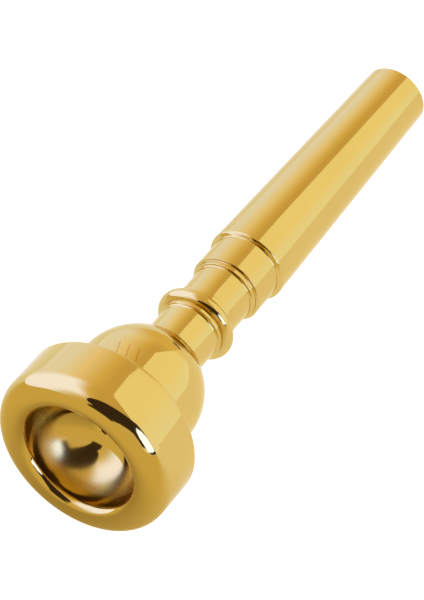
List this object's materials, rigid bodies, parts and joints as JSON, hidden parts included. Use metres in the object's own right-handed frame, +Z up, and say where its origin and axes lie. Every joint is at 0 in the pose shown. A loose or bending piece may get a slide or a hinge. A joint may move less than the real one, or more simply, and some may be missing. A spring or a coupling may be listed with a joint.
{
  "type": "trumpet mouthpiece",
  "caption": "Brass cup mouthpiece for a trumpet: rounded rim, bowl, beaded neck and tapered shank, built to unscrew into rim, cup and backbore.",
  "frame": {"origin": "on the axis, at the small end of the shank", "axes": "+Y along the axis from the lip side to the shank, +Z up, +X to the side; the piece is round about Y"},
  "size_m": [0.0264, 0.087, 0.0264],
  "materials": {
    "plated_brass": "polished, gold plated",
    "seal_rubber": "smooth black"
  },
  "bodies": {
    "backbore": {"backbore": "plated_brass"},
    "cup_seal": {"cup_o_ring": "seal_rubber"},
    "cup": {"cup": "plated_brass"},
    "rim_seal": {"rim_o_ring": "seal_rubber"},
    "rim": {"rim": "plated_brass"}
  },
  "joints": [
    {"name": "cup_turn", "type": "hinge", "parent": "backbore", "child": "cup_seal", "pos_m": [0, -0.066, 0], "axis": [0, -1, 0], "range_deg": [0, 1800]},
    {"name": "cup_advance", "type": "slide", "parent": "cup_seal", "child": "cup", "axis": [0, -1, 0], "range_m": [0, 0.005]},
    {"name": "rim_turn", "type": "hinge", "parent": "cup", "child": "rim_seal", "pos_m": [0, -0.079, 0], "axis": [0, -1, 0], "range_deg": [0, 1440]},
    {"name": "rim_advance", "type": "slide", "parent": "rim_seal", "child": "rim", "axis": [0, -1, 0], "range_m": [0, 0.004]}
  ],
  "couplings": [
    {"joint": "cup_turn", "follows": "cup_advance", "rad_per_m": 6283.2},
    {"joint": "rim_turn", "follows": "rim_advance", "rad_per_m": 6283.2}
  ]
}
